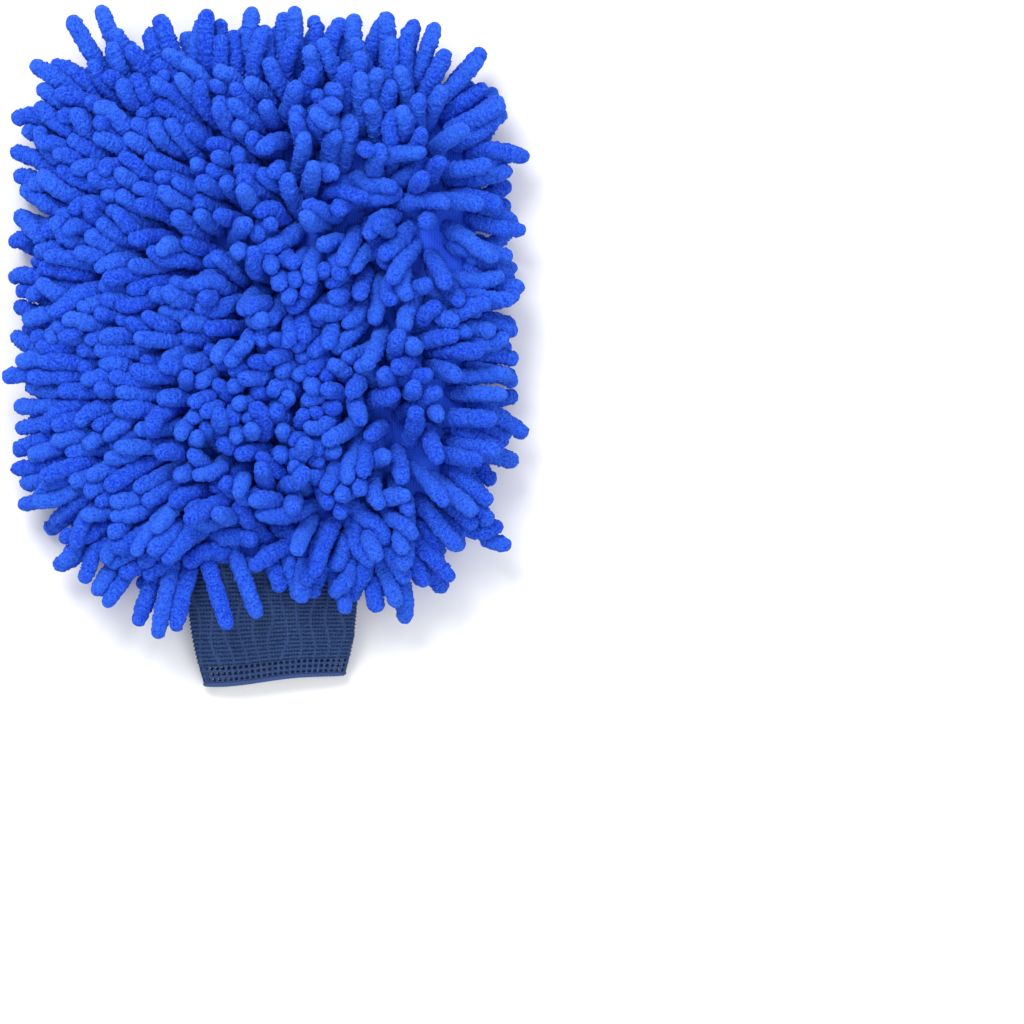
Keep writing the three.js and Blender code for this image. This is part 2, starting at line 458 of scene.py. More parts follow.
# the pocket's lining: a thin plain knit
def liningFinish():
    material, tree, shader = plainFinish(
        "liningCloth", roughness=0.9, sheen=0.2, sheenRoughness=0.4, sheenTint=(0.4, 0.6, 1.0)
    )
    fuzz = fuzzNode(tree, 1500)
    tree.links.new(
        mixColours(tree, fuzz.outputs["Tone"], (0.010, 0.040, 0.30), (0.040, 0.12, 0.60)),
        shader.inputs["Base Color"],
    )
    tree.links.new(bumpNode(tree, fuzz.outputs["Height"], 0.5, 0.0002), shader.inputs["Normal"])
    return material


# thread in two tones under the fibre noise
def threadFinish(name, dark, bright):
    material, tree, shader = plainFinish(
        name, roughness=0.8, sheen=0.2, sheenRoughness=0.4, sheenTint=(0.5, 0.65, 1.0)
    )
    fuzz = fuzzNode(tree, 1800)
    tree.links.new(mixColours(tree, fuzz.outputs["Tone"], dark, bright), shader.inputs["Base Color"])
    tree.links.new(bumpNode(tree, fuzz.outputs["Height"], 0.6, 0.0003), shader.inputs["Normal"])
    return material


cuffLook = {
    # painted shade: the dark colour of the gaps between the knit's courses and cords
    "gap": (0.003, 0.013, 0.060),
    "yarn": (0.046, 0.094, 0.240),
    "fuzzScale": 1300,
    "dashPitch": 0.0014,
    "ridgeGain": 0.66,
    "dashGain": 0.28,
    "grainGain": 1.5,
    "dashHeight": 0.7,
    "bump": 0.0003,
}


# the cuff's knit: light courses and cords where ridge is high, and between them gaps in painted
# shade, with dashes 0.5 + 0.5 sin(2 pi u / dashPitch), u running round the cuff
def cuffKnitFinish():
    material, tree, shader = plainFinish(
        "cuffKnit", roughness=0.85, sheen=0.2, sheenRoughness=0.4, sheenTint=(0.4, 0.55, 1.0)
    )
    fuzz = fuzzNode(tree, cuffLook["fuzzScale"])
    ridge = attributeValue(tree, "ridge")
    place = tree.nodes.new("ShaderNodeUVMap")
    place.uv_map = "along"
    split = tree.nodes.new("ShaderNodeSeparateXYZ")
    tree.links.new(place.outputs["UV"], split.inputs["Vector"])
    turn = mathNode(tree, "MULTIPLY", split.outputs["X"], 2 * math.pi / cuffLook["dashPitch"])
    dash = sumNode(tree, scaledNode(tree, mathNode(tree, "SINE", turn, 0.0), 0.5), 0.5)
    # the gaps between the ridges, which take the painted shade
    gap = mathNode(tree, "SUBTRACT", 1.0, ridge)
    share = sumNode(
        tree,
        scaledNode(tree, ridge, cuffLook["ridgeGain"]),
        scaledNode(tree, mathNode(tree, "MULTIPLY", gap, dash), cuffLook["dashGain"]),
        grainNode(tree, fuzz, cuffLook["grainGain"]),
    )
    tree.links.new(
        mixColours(tree, share, cuffLook["gap"], cuffLook["yarn"]), shader.inputs["Base Color"]
    )
    height = sumNode(tree, scaledNode(tree, dash, cuffLook["dashHeight"]), fuzz.outputs["Height"])
    tree.links.new(bumpNode(tree, height, 0.8, cuffLook["bump"]), shader.inputs["Normal"])
    return material


chenille = chenilleFinish()
groundCloth = groundClothFinish()
liningCloth = liningFinish()
seamThread = threadFinish("seamThread", (0.010, 0.050, 0.45), (0.040, 0.16, 0.85))
cuffKnit = cuffKnitFinish()
cuffEdge = threadFinish("cuffEdge", (0.015, 0.035, 0.12), (0.060, 0.105, 0.27))
print("finishes ready")


# the pile is combed, and settled against itself
pile = {
    "rows": 20,
    "length": 0.0285,
    "lengthSpread": 0.16,
    "lowerGain": 0.20,  # the noodles by the mouth are this much longer
    "lowerZone": (0.055, 0.088),  # from none to all of it between these distances below y = 0
    "innerGain": 0.16,  # and so are those away from the outline
    "innerZone": (0.006, 0.028),  # from none to all of it between these distances inside
    "backShare": 0.85,  # the back's noodles are this much of the front's length
    "radius": 0.0040,
    "radiusSpread": 0.07,
    "frontPitch": 0.0069,  # between noodles of a row
    "backPitch": 0.0108,
    "crowding": 0.13,  # how much closer they stand in the middle than at the ends
    "zigzag": 0.0026,  # every second noodle of a row stands this much to either side
    "rootJitter": 0.0012,
    "rootSink": 0.0003,
    "edgeInset": 0.0035,  # outermost roots stand this far inside the cloth's edge
    "edgeDroop": 0.50,  # extra lean of the outermost noodles
    "droopZone": (0.006, 0.022),  # from all to none of it between these distances inside
    "strokeCore": 0.008,  # a stroke combs evenly within about this distance
    "turnSpread": 0.22,
    "leanSpread": 0.06,
    "leanShares": (0.85, 1.1),
    "tousle": 0.34,  # how far the upright ones lean any way
    "curl": 0.5,
    "placedSlack": 1.03,
    "frontWeight": 0.00018,
    "backWeight": 0.00012,
    "seed": 11,
}
settling = {
    "points": 8,  # along each noodle
    "steps": 220,
    "sweeps": 2,
    "shareAtStart": 0.35,  # the noodles start at this share of their lean
    "rampShare": 0.6,  # and reach all of it by this share of the steps
    "tiltStart": 0.7,
    "tiltGain": 0.93,
    "tiltPower": 0.6,
    "combPull": 0.12,
    "stiffness": 0.35,
    "push": 0.35,
    "squash": 0.93,  # noodles press into each other to this share of their radii
    "searchEvery": 8,
    "searchReach": 0.0125,
    "edgeSlope": 0.5,  # how steeply the front's noodles may hang past the outline
    "backSlope": 0.55,
    "clothTouch": 0.7,  # how near to the cloth and the floor the noodles' middles come, in radii
    "backTouch": 0.9,
    "floorTouch": 1.4,
}
noodleShape = {
    "front": (46, 22),  # rings along a noodle and sides round it
    "back": (34, 14),
    "capRings": 5,
    "tipStart": 0.87,
    "rootShare": 0.86,
    "rootZone": 0.18,  # share of the noodle over which it widens from its root
    "tipThinning": 0.10,
    "thinFrom": 0.65,
    "tipPower": 0.55,
    "meanShare": 0.97,
    "ribPitch": 0.0023,
    "ribDepth": 0.032,
    "wanderLength": 0.0083,
    "fadeLength": 0.0117,
    "longLump": 0.0063,
    "shortLump": 0.0041,
    "lumpDepth": 0.035,
    "tuftDepth": 0.105,
    "swellLength": 0.0135,
    "swellDepth": 0.03,
    "ovalDepth": 0.04,
}

# strokes of the comb: x, y, the way the noodles point in degrees from +X, and how far they
# lean, from 0 upright to 1 lying down
frontStrokes = [
    (-0.085, 0.125, 135, 0.9), (-0.060, 0.130, 108, 0.9), (-0.020, 0.130, 93, 0.9),
    (0.020, 0.130, 90, 0.85), (0.060, 0.128, 84, 0.9), (0.090, 0.115, 45, 0.9),
    (-0.095, 0.090, 155, 0.95), (-0.095, 0.050, 172, 1.0), (-0.095, 0.000, 180, 1.0),
    (-0.095, -0.040, 190, 1.0), (-0.085, -0.075, 207, 1.0), (-0.060, -0.090, 238, 1.0),
    (0.098, 0.080, 8, 0.95), (0.098, 0.040, -5, 0.95), (0.098, 0.000, -5, 0.95),
    (0.098, -0.040, -12, 1.0), (0.085, -0.075, -38, 0.95), (0.060, -0.090, -62, 1.0),
    (-0.045, 0.095, 142, 0.90), (-0.050, 0.060, 160, 0.95), (-0.050, 0.020, 176, 0.95),
    (-0.050, -0.020, 184, 0.95), (-0.048, -0.055, 205, 0.90), (-0.020, 0.050, 165, 0.60),
    (-0.020, 0.020, 185, 0.60), (-0.015, 0.085, 140, 0.50), (0.020, 0.100, 120, 0.25),
    (0.040, 0.075, 60, 0.15), (0.055, 0.100, 95, 0.70), (0.010, 0.045, 250, 0.20),
    (0.025, 0.020, 250, 0.60), (0.060, 0.040, 255, 0.70), (0.045, 0.005, 215, 0.80),
    (0.070, 0.010, 10, 0.80), (0.050, -0.025, 90, 0.12), (0.000, -0.010, 200, 0.55),
    (-0.010, -0.035, 150, 0.25), (0.005, -0.058, 90, 0.15), (0.030, -0.045, 262, 0.40),
    (0.050, -0.062, 285, 0.55), (0.072, -0.040, -15, 0.50), (-0.032, -0.078, 212, 0.85),
    (-0.012, -0.090, 190, 0.95), (0.010, -0.088, 150, 0.60), (0.028, -0.088, 240, 0.70),
    (0.045, -0.092, 280, 0.90),
]
backStrokes = [
    (0.000, 0.020, 90, 0.10), (-0.090, 0.020, 180, 1.0), (0.090, 0.020, 0, 1.0),
    (0.000, 0.125, 90, 1.0), (-0.080, 0.115, 135, 1.0), (0.080, 0.115, 45, 1.0),
    (-0.060, -0.080, 235, 1.0), (0.060, -0.080, -55, 1.0), (0.000, -0.080, 270, 0.7),
    (-0.040, 0.020, 180, 0.7), (0.040, 0.020, 0, 0.7), (0.000, 0.075, 90, 0.7),
]

# noodles placed one by one, over the cuff and round the outline: root x and y, tip x and y
placedNoodles = [
    (-0.027, -0.094, -0.015, -0.131), (-0.016, -0.092, -0.004, -0.126),
    (0.000, -0.093, 0.010, -0.114), (0.010, -0.094, 0.018, -0.117),
    (0.030, -0.090, 0.021, -0.118), (0.033, -0.094, 0.038, -0.125),
    (-0.035, -0.094, -0.043, -0.131), (0.044, -0.093, 0.052, -0.122),
    (-0.041, -0.093, -0.050, -0.134), (-0.046, -0.092, -0.059, -0.128),
    (-0.054, -0.090, -0.074, -0.121), (-0.066, -0.084, -0.082, -0.112),
    (-0.074, -0.078, -0.094, -0.102), (0.050, -0.091, 0.059, -0.121),
    (0.058, -0.088, 0.073, -0.112), (0.064, -0.084, 0.086, -0.110),
    (-0.072, 0.119, -0.091, 0.151), (-0.082, 0.112, -0.108, 0.130),
    (-0.024, 0.124, -0.024, 0.157), (-0.005, 0.124, -0.004, 0.156),
    (0.014, 0.124, 0.014, 0.157), (0.040, 0.123, 0.041, 0.153),
    (0.056, 0.122, 0.056, 0.153), (0.068, 0.120, 0.078, 0.149),
    (0.078, 0.108, 0.101, 0.131), (0.085, 0.098, 0.115, 0.112),
    (-0.026, -0.088, 0.001, -0.083), (0.004, -0.083, 0.023, -0.098),
    (0.039, -0.084, 0.031, -0.106), (0.088, -0.060, 0.102, -0.084),
]


# roots in rows across the cloth: x = half (s + c (s^3 - s)) crowds them towards the middle,
# and every second one of a row stands to the other side of the row's line
def noodleRoots(pitch, draw):
    inset = pile["edgeInset"]
    firstY = pouch["mouthY"] + inset + pile["zigzag"]
    lastY = pouch["toeY"] - inset - pile["zigzag"]
    rootX, rootY, rowOf = [], [], []
    for row, y in enumerate(np.linspace(firstY, lastY, pile["rows"])):
        half = float(pouchHalfWidth(y)) - inset
        count = int(round(2 * half / pitch)) + row % 2
        share = np.linspace(-1, 1, count)
        rootX.append(half * (share + pile["crowding"] * (share ** 3 - share)))
        rootY.append(y + pile["zigzag"] * (2 * (np.arange(count) % 2) - 1))
        rowOf.append(np.full(count, row))
    rootX, rootY, rowOf = (np.concatenate(part) for part in (rootX, rootY, rowOf))
    jitterX = draw.uniform(-1, 1, len(rootX)) * pile["rootJitter"]
    jitterY = draw.uniform(-1, 1, len(rootY)) * pile["rootJitter"]
    return rootX + jitterX, rootY + jitterY, rowOf


# distance from the pouch's outline, growing inwards
def insideOutline(x, y):
    lengthways = np.minimum(pouch["toeY"] - y, y - pouch["mouthY"])
    return np.minimum(pouchHalfWidth(y) - np.abs(x), lengthways)


# lean of the pile at each root: the strokes' vectors averaged with weights
# 1 / (d^2 + strokeCore^2)^2, where d is the distance to the stroke
def combedLean(rootX, rootY, strokes):
    strokes = np.array(strokes, float)
    angle = np.radians(strokes[:, 2])
    vectors = strokes[:, 3:] * np.stack([np.cos(angle), np.sin(angle)], 1)
    away = (rootX[:, None] - strokes[:, 0]) ** 2 + (rootY[:, None] - strokes[:, 1]) ** 2
    weight = 1 / (away + pile["strokeCore"] ** 2) ** 2
    return (weight @ vectors) / weight.sum(1, keepdims=True)


# each noodle's own way off the combed one: turned a little, and the more upright it stands,
# the further it leans any way
def tousled(lean, draw):
    angle = draw.normal(0, pile["turnSpread"], len(lean))
    cosine, sine = np.cos(angle), np.sin(angle)
    turned = np.stack(
        [lean[:, 0] * cosine - lean[:, 1] * sine, lean[:, 0] * sine + lean[:, 1] * cosine], 1
    )
    upright = np.clip(1 - np.linalg.norm(turned, axis=1), 0, 1)[:, None] ** 1.5
    turned = turned * draw.uniform(*pile["leanShares"], (len(lean), 1))
    spread = pile["leanSpread"] + pile["tousle"] * upright
    return turned + draw.normal(0, 1, turned.shape) * spread


# the rows' noodles as one dictionary of arrays
def rowNoodles(pitch, strokes, draw):
    x, y, row = noodleRoots(pitch, draw)
    inside = insideOutline(x, y)
    droop = 1 + pile["edgeDroop"] * (1 - smoothStep(inside, *pile["droopZone"]))
    lean = tousled(combedLean(x, y, strokes) * droop[:, None], draw)
    length = pile["length"] * (1 + pile["lengthSpread"] * draw.uniform(-1, 1, len(x)))
    length = length * (1 + pile["lowerGain"] * smoothStep(-y, *pile["lowerZone"]))
    length = length * (1 + pile["innerGain"] * smoothStep(inside, *pile["innerZone"]))
    curl = draw.normal(0, pile["curl"], len(x))
    return {"x": x, "y": y, "row": row, "lean": lean, "length": length, "curl": curl}


# takes away the rows' noodles that a placed one crowds, and adds the placed ones, each to
# the row that is nearest to it
def withPlaced(noodles):
    placed = np.array(placedNoodles)
    x, y = placed[:, 0], placed[:, 1]
    apart = np.hypot(noodles["x"][:, None] - x, noodles["y"][:, None] - y)
    clear = apart.min(1) >= pile["radius"]
    kept = {key: values[clear] for key, values in noodles.items()}
    reach = placed[:, 2:] - placed[:, :2]
    span = np.linalg.norm(reach, axis=1)
    added = {
        "x": x,
        "y": y,
        "row": kept["row"][np.abs(kept["y"][:, None] - y).argmin(0)],
        "lean": reach / span[:, None],
        "length": pile["placedSlack"] * span,
        "curl": np.zeros(len(placed)),
    }
    return {key: np.concatenate([kept[key], added[key]]) for key in kept}


# pairs of points on different noodles that are nearer than reach
def nearPairs(points, owner, reach):
    flat = points.astype(np.float32)
    square = (flat ** 2).sum(1)
    apart = square[:, None] + square[None, :] - 2 * flat @ flat.T
    first, second = np.nonzero(apart < reach ** 2)
    keep = (first < second) & (owner[first] != owner[second])
    return first[keep], second[keep]


# directions of the combed curve: the tilt off upright is lean * (start + gain s^power), and
# the way that it leans turns by curl * (s - 0.3)
def combedDirections(lean, curl, share, grow):
    azimuth = np.arctan2(lean[:, 1], lean[:, 0])[:, None] + curl[:, None] * (grow - 0.3)
    amount = np.clip(np.linalg.norm(lean, axis=1), 0, 1 + pile["edgeDroop"])[:, None]
    bend = settling["tiltStart"] + settling["tiltGain"] * grow ** settling["tiltPower"]
    tilt = amount * share * bend
    flat = np.sin(tilt)
    return np.stack([flat * np.cos(azimuth), flat * np.sin(azimuth), np.cos(tilt)], 2)


# moves the points of each pair apart until their noodles only touch
def pushApart(body, first, second, touch):
    offset = body[first] - body[second]
    apart = np.linalg.norm(offset, axis=1)
    push = np.clip(touch - apart, 0, None) / np.maximum(apart, 1e-6) * settling["push"]
    for axis in range(3):
        move = push * offset[:, axis]
        body[:, axis] += np.bincount(first, move, len(body)) - np.bincount(second, move, len(body))
    return body


# settles chains of points: each chain keeps its length and its root, bends towards its
# combed curve, is pulled by its weight and pushed off its neighbours and off the limits
def settlePile(roots, noodles, radii, weightPull, holdIn):
    count, points, steps = len(roots), settling["points"], settling["steps"]
    segment = (noodles["length"] / (points - 1))[:, None]
    grow = (np.arange(points - 1) + 0.5) / (points - 1)
    owner = np.repeat(np.arange(count), points - 1)
    reach = np.repeat(radii, points - 1)
    start = settling["shareAtStart"]
    wanted = combedDirections(noodles["lean"], noodles["curl"], start, grow)
    chain = np.zeros((count, points, 3))
    chain[:, 0] = roots
    chain[:, 1:] = roots[:, None] + np.cumsum(wanted * segment[:, :, None], 1)
    for step in range(steps):
        share = start + (1 - start) * min(1, step / (settling["rampShare"] * steps))
        wanted = combedDirections(noodles["lean"], noodles["curl"], share, grow)
        direction = unit(np.diff(chain, axis=1))
        smooth = direction.copy()
        smooth[:, 1:-1] = (direction[:, :-2] + direction[:, 2:]) / 2
        direction = unit(direction + settling["combPull"] * wanted + settling["stiffness"] * smooth)
        chain[:, 1:] = roots[:, None] + np.cumsum(direction * segment[:, :, None], 1)
        chain[:, 1:, 2] += weightPull * grow
        if step % settling["searchEvery"] == 0:
            first, second = nearPairs(chain[:, 1:].reshape(-1, 3), owner, settling["searchReach"])
            touch = settling["squash"] * (reach[first] + reach[second])
        for _ in range(settling["sweeps"]):
            body = pushApart(chain[:, 1:].reshape(-1, 3), first, second, touch)
            chain[:, 1:] = holdIn(body).reshape(count, points - 1, 3)
            for k in range(1, points):
                chain[:, k] = chain[:, k - 1] + unit(chain[:, k] - chain[:, k - 1]) * segment
    return chain


def overCuff(x, y):
    beside = np.abs(x - cuff["topX"]) - cuff["topHalfWidth"]
    return (y < pouch["mouthY"]) & (beside < cuff["sideRoom"])


# front noodles lie on the cloth or the cuff, or hang over the outline, at the distance d past
# it, as edge * exp(-d / (2 edge)) - slope * d
def frontLimits(body):
    x, y = body[:, 0], body[:, 1]
    out = np.maximum(-insideOutline(x, y), 0)
    edge = pouch["edgeRise"]
    overEdge = pouch["seamZ"] + edge * np.exp(-out / (2 * edge)) - settling["edgeSlope"] * out
    floorZ = np.where(out > 0, overEdge, frontClothHeight(x, y))
    floorZ = floorZ + settling["clothTouch"] * pile["radius"]
    floorZ = np.where(overCuff(x, y), cuffTopHeight(x, y) + pile["radius"], floorZ)
    body[:, 2] = np.maximum(body[:, 2], floorZ)
    return body


# the back is settled upside down: under the cloth, over the surface that the mitt lies on,
# and clear of the cuff
def backLimits(body):
    x, y = body[:, 0], body[:, 1]
    out = np.maximum(-insideOutline(x, y), 0)
    underEdge = pouch["seamZ"] - pouch["edgeRise"] - settling["backSlope"] * out
    top = np.where(out > 0, underEdge, backClothHeight(x, y))
    floorZ = settling["backTouch"] * pile["radius"] - np.maximum(top, 2 * pile["radius"])
    ceiling = np.maximum(-settling["floorTouch"] * pile["radius"], floorZ + 1e-4)
    body[:, 2] = np.clip(body[:, 2], floorZ, ceiling)
    nearestY = pouch["mouthY"] - pile["radius"]
    body[:, 1] = np.where(overCuff(x, y), np.maximum(y, nearestY), y)
    return body


# settled chains of points of one face, their radii, and the row that each noodle is of
def growPile(onFront):
    draw = np.random.default_rng(pile["seed"])
    if onFront:
        noodles = withPlaced(rowNoodles(pile["frontPitch"], frontStrokes, draw))
    else:
        noodles = rowNoodles(pile["backPitch"], backStrokes, draw)
        noodles["length"] = pile["backShare"] * noodles["length"]
    x, y = noodles["x"], noodles["y"]
    radii = pile["radius"] * (1 + pile["radiusSpread"] * draw.uniform(-1, 1, len(x)))
    height = frontClothHeight(x, y) if onFront else -backClothHeight(x, y)
    roots = np.stack([x, y, height - pile["rootSink"]], 1)
    if onFront:
        chain = settlePile(roots, noodles, radii, -pile["frontWeight"], frontLimits)
    else:
        chain = settlePile(roots, noodles, radii, pile["backWeight"], backLimits) * (1, 1, -1)
    return chain, radii, noodles["row"]


# Catmull-Rom weights that turn the settled points into more rings along the noodle
def splineWeights(points, stations):
    place = np.clip(stations, 0, 1) * (points - 1)
    left = np.minimum(place.astype(int), points - 2)
    t = place - left
    weights = np.zeros((len(stations), points))
    parts = [
        -0.5 * t + t ** 2 - 0.5 * t ** 3,
        1 - 2.5 * t ** 2 + 1.5 * t ** 3,
        0.5 * t + 2 * t ** 2 - 1.5 * t ** 3,
        -0.5 * t ** 2 + 0.5 * t ** 3,
    ]
    for offset, part in zip((-1, 0, 1, 2), parts):
        np.add.at(weights, (np.arange(len(stations)), np.clip(left + offset, 0, points - 1)), part)
    return weights


# two directions across each line, carried along it without twist
def crossDirections(line):
    tangent = unit(np.gradient(line, axis=1))
    side = np.zeros(line.shape)
    side[:, 0] = unit(np.cross(tangent[:, 0], (0.3, 0.9, 0.2)))
    for ring in range(1, line.shape[1]):
        carried = side[:, ring - 1]
        along = (carried * tangent[:, ring]).sum(1, keepdims=True)
        side[:, ring] = unit(carried - along * tangent[:, ring])
    return side, np.cross(tangent, side)


# share of the full radius: a little narrower at the root and towards the tip, and past
# tipStart closing as (1 - t^2)^tipPower
def noodleTaper(stations):
    start = noodleShape["tipStart"]
    closing = np.clip((stations - start) / (1 - start), 0, 1)
    root = noodleShape["rootShare"]
    body = root + (1 - root) * smoothStep(stations, 0, noodleShape["rootZone"])
    thinning = noodleShape["tipThinning"] * smoothStep(stations, noodleShape["thinFrom"], 1)
    return body * (1 - closing ** 2) ** noodleShape["tipPower"] * (1 - thinning)


# relief of the velvet as a share of the radius: ribs that fade in and out, two families of
# lumps, random tufts, a slow swelling and a slightly oval section
def noodleRelief(distance, angle, draw):
    shape = noodleShape
    turns = 2 * math.pi * distance[:, :, None]
    phase = draw.uniform(0, 2 * math.pi, (len(distance), 6))[:, :, None, None]
    wander = 1.1 * np.sin(turns / shape["wanderLength"] + phase[:, 0])
    ribs = np.sin(turns / shape["ribPitch"] + wander + 0.7 * np.sin(angle + phase[:, 1]))
    ribs = ribs * (0.5 + 0.5 * np.sin(turns / shape["fadeLength"] + phase[:, 2]))
    longLumps = np.sin(turns / shape["longLump"] + 2 * angle + phase[:, 3])
    shortLumps = np.sin(turns / shape["shortLump"] - 3 * angle + phase[:, 4])
    tufts = draw.uniform(-1, 1, ribs.shape)
    tufts = tufts + 0.8 * np.clip(draw.normal(0, 1, ribs.shape) - 0.9, 0, 2)
    relief = shape["ribDepth"] * ribs + shape["lumpDepth"] * (longLumps + shortLumps)
    relief = relief + shape["tuftDepth"] * tufts
    relief = relief + shape["swellDepth"] * np.sin(turns / shape["swellLength"] + phase[:, 5])
    return relief + shape["ovalDepth"] * np.cos(2 * angle + phase[:, 0]), ribs


# faces of count tubes, each with its rings of points followed by a root and a tip pole
def noodleFaces(count, rings, sides):
    ring, column = np.meshgrid(np.arange(rings - 1), np.arange(sides), indexing="ij")
    beside = (column + 1) % sides
    lower, upper = ring * sides, (ring + 1) * sides
    quads = np.stack([lower + column, lower + beside, upper + beside, upper + column], -1)
    around = np.arange(sides)
    following = (around + 1) % sides
    last = (rings - 1) * sides
    rootFan = np.stack([np.full(sides, rings * sides), following, around], 1)
    tipFan = np.stack([np.full(sides, rings * sides + 1), last + around, last + following], 1)
    shift = (np.arange(count) * (rings * sides + 2))[:, None, None]
    quads = (quads.reshape(1, -1, 4) + shift).reshape(-1, 4)
    fans = (np.concatenate([rootFan, tipFan])[None] + shift).reshape(-1, 3)
    u = np.stack([column, column + 1, column + 1, column], -1).reshape(-1, 4) / sides
    v = np.stack([ring, ring, ring + 1, ring + 1], -1).reshape(-1, 4) / (rings - 1)
    uv = np.tile(np.stack([u, v], -1), (count, 1, 1))
    return [(quads, uv), (fans, np.zeros((len(fans), 3, 2)))]


# velvet tubes round the settled chains, closed by a pole at each end
def noodleMesh(name, chain, radii, rings, sides, draw):
    count, points = chain.shape[:2]
    start, capRings = noodleShape["tipStart"], noodleShape["capRings"]
    body = np.linspace(0, start, rings - capRings, endpoint=False)
    cap = np.sin(np.arange(capRings) / capRings * math.pi / 2)
    stations = np.concatenate([body, start + (1 - start) * cap])
    line = np.einsum("rp,npc->nrc", splineWeights(points, stations), chain)
    side, other = crossDirections(line)
    distance = stations * np.linalg.norm(np.diff(line, axis=1), axis=2).sum(1)[:, None]
    angle = evenTurns(sides)
    relief, ribs = noodleRelief(distance, angle, draw)
    radius = radii[:, None, None] * noodleTaper(stations)[:, None]
    radius = radius * (noodleShape["meanShare"] + relief)
    across = (radius * np.cos(angle))[..., None] * side[:, :, None]
    up = (radius * np.sin(angle))[..., None] * other[:, :, None]
    surface = line[:, :, None] + across + up
    poles = [line[:, :1], chain[:, -1:]]
    vertices = np.concatenate([surface.reshape(count, -1, 3), *poles], 1)
    ribs = np.concatenate([ribs.reshape(count, -1), np.zeros((count, 2))], 1)
    tone = np.repeat(draw.uniform(0, 1, count), rings * sides + 2)
    faces = noodleFaces(count, rings, sides)
    return meshPiece(name, vertices, faces, chenille, {"rib": 0.5 + 0.5 * ribs, "tone": tone})


# the rows' noodles ride on the pouch, and those of the front that reach over the cuff
# make a piece of their own
def addPile():
    draw = np.random.default_rng(pile["seed"])
    for face, onFront in (("front", True), ("back", False)):
        chain, radii, rowOf = growPile(onFront)
        rings, sides = noodleShape[face]
        tipX, tipY = chain[:, -1, 0], chain[:, -1, 1]
        hanging = overCuff(tipX, tipY) & (tipY < cuff["hangY"]) & onFront
        for row in range(pile["rows"]):
            chosen = (rowOf == row) & ~hanging
            number = f"{row + 1:02d}"
            name = f"{face}_noodles_{number}"
            piece = noodleMesh(name, chain[chosen], radii[chosen], rings, sides, draw)
            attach(piece, "pouch")
            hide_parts(f"{face}_chenille_row_{number}")
        if onFront:
            name = "noodles_over_cuff"
            piece = noodleMesh(name, chain[hanging], radii[hanging], rings, sides, draw)
            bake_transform(piece)
        print(face, "pile settled:", len(chain), "noodles,", int(hanging.sum()), "over the cuff")


addPile()


# a closed sheet from two equal grids of points, with holes where a cell isn't kept: each
# kept cell gives an outer and an inner face, and a wall where its neighbour isn't kept
def shellPiece(name, outer, inner, kept, roundX, material, uv, attributes=None):
    rows, columns = outer.shape[:2]
    index = np.arange(rows * columns).reshape(rows, columns)
    if roundX:
        right = np.roll(index, -1, axis=1)
        left = np.roll(kept, 1, axis=1)
        beyond = np.roll(kept, -1, axis=1)
    else:
        index, right = index[:, :-1], index[:, 1:]
        left = np.concatenate([np.zeros((rows - 1, 1), bool), kept[:, :-1]], 1)
        beyond = np.concatenate([kept[:, 1:], np.zeros((rows - 1, 1), bool)], 1)
    none = np.zeros((1, kept.shape[1]), bool)
    below = np.concatenate([none, kept[:-1]])
    above = np.concatenate([kept[1:], none])
    a, b, c, d = index[:-1], right[:-1], right[1:], index[1:]
    under = rows * columns
    faces = [np.stack([a, b, c, d], -1)[kept], np.stack([d, c, b, a], -1)[kept] + under]
    for first, second, neighbour in ((a, b, below), (b, c, beyond), (c, d, above), (d, a, left)):
        edge = kept & ~neighbour
        wall = np.stack([second, first, first + under, second + under], -1)
        faces.append(wall[edge])
    faces = np.concatenate(faces)
    vertices = np.concatenate([outer.reshape(-1, 3), inner.reshape(-1, 3)])
    flat = uv.reshape(-1, 2)
    used, faces = np.unique(faces, return_inverse=True)
    faces = faces.reshape(-1, 4)
    both = np.concatenate([flat, flat])[used]
    doubled = {
        key: np.concatenate([value.reshape(-1), value.reshape(-1)])[used]
        for key, value in (attributes or {}).items()
    }
    return meshPiece(name, vertices[used], [(faces, both[faces])], material, doubled)


# a tube from a grid of points, one ring of them to each row: closed into a loop, or closed
# by a fan at each end
def tubePiece(name, points, looped, material, uv):
    rings, sides = points.shape[:2]
    index = np.arange(rings * sides).reshape(rings, sides)
    around = np.roll(index, -1, axis=1)
    if looped:
        quads = np.stack(
            [index, around, np.roll(around, -1, axis=0), np.roll(index, -1, axis=0)], -1
        ).reshape(-1, 4)
    else:
        quads = np.stack([index[:-1], around[:-1], around[1:], index[1:]], -1).reshape(-1, 4)
    flat = uv.reshape(-1, 2)
    corners = [(quads, flat[quads])]
    vertices = points.reshape(-1, 3)
    if not looped:
        ends = np.stack([points[0].mean(0), points[-1].mean(0)])
        vertices = np.concatenate([vertices, ends])
        flat = np.concatenate([flat, flat[[0, -1]]])
        count = rings * sides
        fans = np.concatenate(
            [
                np.stack([np.full(sides, count), around[0], index[0]], 1),
                np.stack([np.full(sides, count + 1), index[-1], around[-1]], 1),
            ]
        )
        corners.append((fans, flat[fans]))
    return meshPiece(name, vertices, corners, material)


clothing = {
    "clothThickness": 0.0011,
    "liningThickness": 0.0006,
    "liningOffset": 0.0014,
    "liningInset": 0.0050,
    "columns": 90,
    "rows": 106,
    "seamHalfWidth": 0.0024,
    "seamHalfThickness": 0.0016,
    "seamStep": 0.0006,
    "seamSides": 12,
    "seamWrapPitch": 0.0023,
    "seamWrapDepth": 0.10,
    "mouthSeamRadius": 0.0017,
    "mouthSeamRings": 300,
    "mouthSeamDrop": 0.0008,  # its middle stands this far past the mouth
    "mouthSeamLift": 0.0006,  # and this far outside the cuff
}


